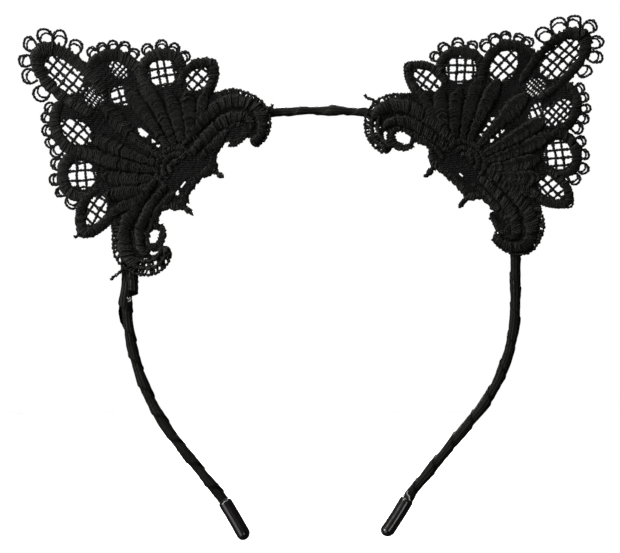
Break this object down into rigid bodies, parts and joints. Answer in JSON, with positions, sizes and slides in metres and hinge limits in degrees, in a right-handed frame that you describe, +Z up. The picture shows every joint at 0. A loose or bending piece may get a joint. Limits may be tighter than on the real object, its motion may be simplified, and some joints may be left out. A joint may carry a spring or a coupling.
{
  "type": "animal ears headband",
  "caption": "Sprung hoop headband wound in black satin ribbon, with a black guipure lace cat ear sewn to each shoulder and moulded caps on its ends.",
  "frame": {"origin": "the middle of the crown's underside, on the flat that rests on the head", "axes": "+Z up as worn, +X to the right and -Y to the front, as the headband is seen from the front. Left and right are the viewer's, facing its lace side."},
  "size_m": [0.2062, 0.008, 0.1844],
  "materials": {
    "spring_steel": "blued spring-steel strip, hidden by the ribbon",
    "satin_ribbon": "black satin ribbon wound in a lapped spiral, soft sheen",
    "guipure_lace": "black embroidered thread, satin stitch with a faint sheen",
    "sewing_thread": "black twisted thread",
    "moulded_cap": "glossy black moulded cap",
    "cap_glue": "dried clear-grey glue"
  },
  "bodies": {
    "crown": {"crown_core": "spring_steel", "crown_ribbon": "satin_ribbon"},
    "left_shoulder": {"left_shoulder_core": "spring_steel", "left_shoulder_ribbon": "satin_ribbon", "left_ear_lace_base": "guipure_lace", "left_ear_stitch_1": "sewing_thread", "left_ear_stitch_2": "sewing_thread", "left_ear_stitch_3": "sewing_thread", "left_ear_stitch_4": "sewing_thread", "left_ear_stitch_5": "sewing_thread", "left_ear_stitch_6": "sewing_thread", "left_ear_stitch_7": "sewing_thread", "left_ribbon_binding": "satin_ribbon"},
    "left_arm": {"left_arm_core": "spring_steel", "left_arm_ribbon": "satin_ribbon", "left_cap_glue_bead": "cap_glue", "left_end_cap": "moulded_cap"},
    "left_ear": {"left_ear_lace_blade": "guipure_lace"},
    "right_shoulder": {"right_shoulder_core": "spring_steel", "right_shoulder_ribbon": "satin_ribbon", "right_ear_lace_base": "guipure_lace", "right_ear_stitch_1": "sewing_thread", "right_ear_stitch_2": "sewing_thread", "right_ear_stitch_3": "sewing_thread", "right_ear_stitch_4": "sewing_thread", "right_ear_stitch_5": "sewing_thread", "right_ear_stitch_6": "sewing_thread", "right_ear_stitch_7": "sewing_thread"},
    "right_arm": {"right_arm_core": "spring_steel", "right_arm_ribbon": "satin_ribbon", "right_cap_glue_bead": "cap_glue", "right_end_cap": "moulded_cap"},
    "right_ear": {"right_ear_lace_blade": "guipure_lace"}
  },
  "joints": [
    {"name": "left_shoulder_flex", "type": "hinge", "parent": "crown", "child": "left_shoulder", "pos_m": [-0.01099, 0, 0.00138], "axis": [0, 1, 0], "range_deg": [-4, 10], "stiffness_Nm_per_rad": 0.8},
    {"name": "left_arm_flex", "type": "hinge", "parent": "left_shoulder", "child": "left_arm", "pos_m": [-0.06745, 0, -0.07322], "axis": [0, 1, 0], "range_deg": [-2.4, 6], "stiffness_Nm_per_rad": 0.2},
    {"name": "left_ear_bend", "type": "hinge", "parent": "left_shoulder", "child": "left_ear", "pos_m": [-0.05851, -0.00325, -0.01232], "axis": [0.6157, 0, 0.788], "range_deg": [-25, 25], "stiffness_Nm_per_rad": 0.02},
    {"name": "right_shoulder_flex", "type": "hinge", "parent": "crown", "child": "right_shoulder", "pos_m": [0.01099, 0, 0.00138], "axis": [0, -1, 0], "range_deg": [-4, 10], "stiffness_Nm_per_rad": 0.8},
    {"name": "right_arm_flex", "type": "hinge", "parent": "right_shoulder", "child": "right_arm", "pos_m": [0.06768, 0, -0.07323], "axis": [0, -1, 0], "range_deg": [-2.4, 6], "stiffness_Nm_per_rad": 0.2},
    {"name": "right_ear_bend", "type": "hinge", "parent": "right_shoulder", "child": "right_ear", "pos_m": [0.05688, -0.00325, -0.00917], "axis": [0.7373, 0, -0.6756], "range_deg": [-25, 25], "stiffness_Nm_per_rad": 0.02}
  ],
  "couplings": [
    {"joint": "left_arm_flex", "follows": "left_shoulder_flex", "ratio": 0.6},
    {"joint": "right_arm_flex", "follows": "right_shoulder_flex", "ratio": 0.6}
  ]
}
